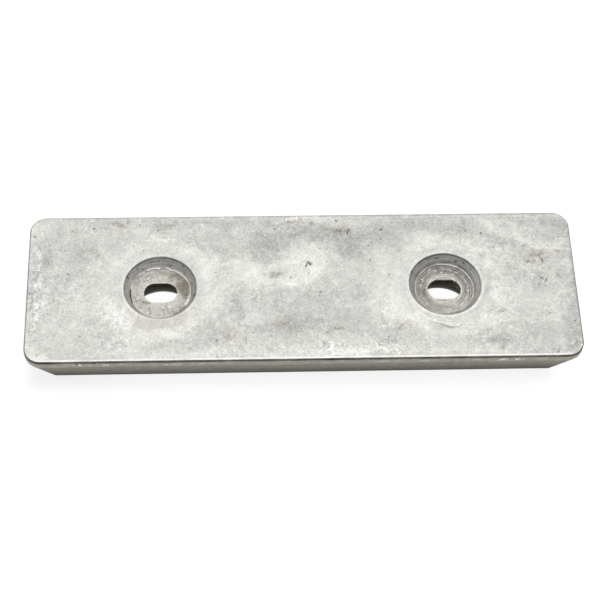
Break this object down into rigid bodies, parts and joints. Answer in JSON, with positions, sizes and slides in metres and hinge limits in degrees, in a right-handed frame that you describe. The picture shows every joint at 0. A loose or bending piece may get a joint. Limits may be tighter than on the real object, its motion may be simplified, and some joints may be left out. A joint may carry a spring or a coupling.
{
  "type": "sacrificial anode",
  "caption": "Rectangular bolt-on hull anode: cast light alloy block with leaning walls and dished recesses that bare a slotted steel strap, bolted flat to a hull to corrode in its place.",
  "frame": {"origin": "centre of the outer (small) face, which the block stands on", "axes": "+X along the block, +Y across it, +Z from the outer face to the hull face"},
  "size_m": [0.21, 0.065, 0.025],
  "materials": {
    "cast_alloy": "as cast, matt and mottled",
    "strap_steel": "mill finish, light tarnish"
  },
  "bodies": {
    "root": {"anode_block": "cast_alloy", "steel_strap": "strap_steel"}
  },
  "joints": []
}
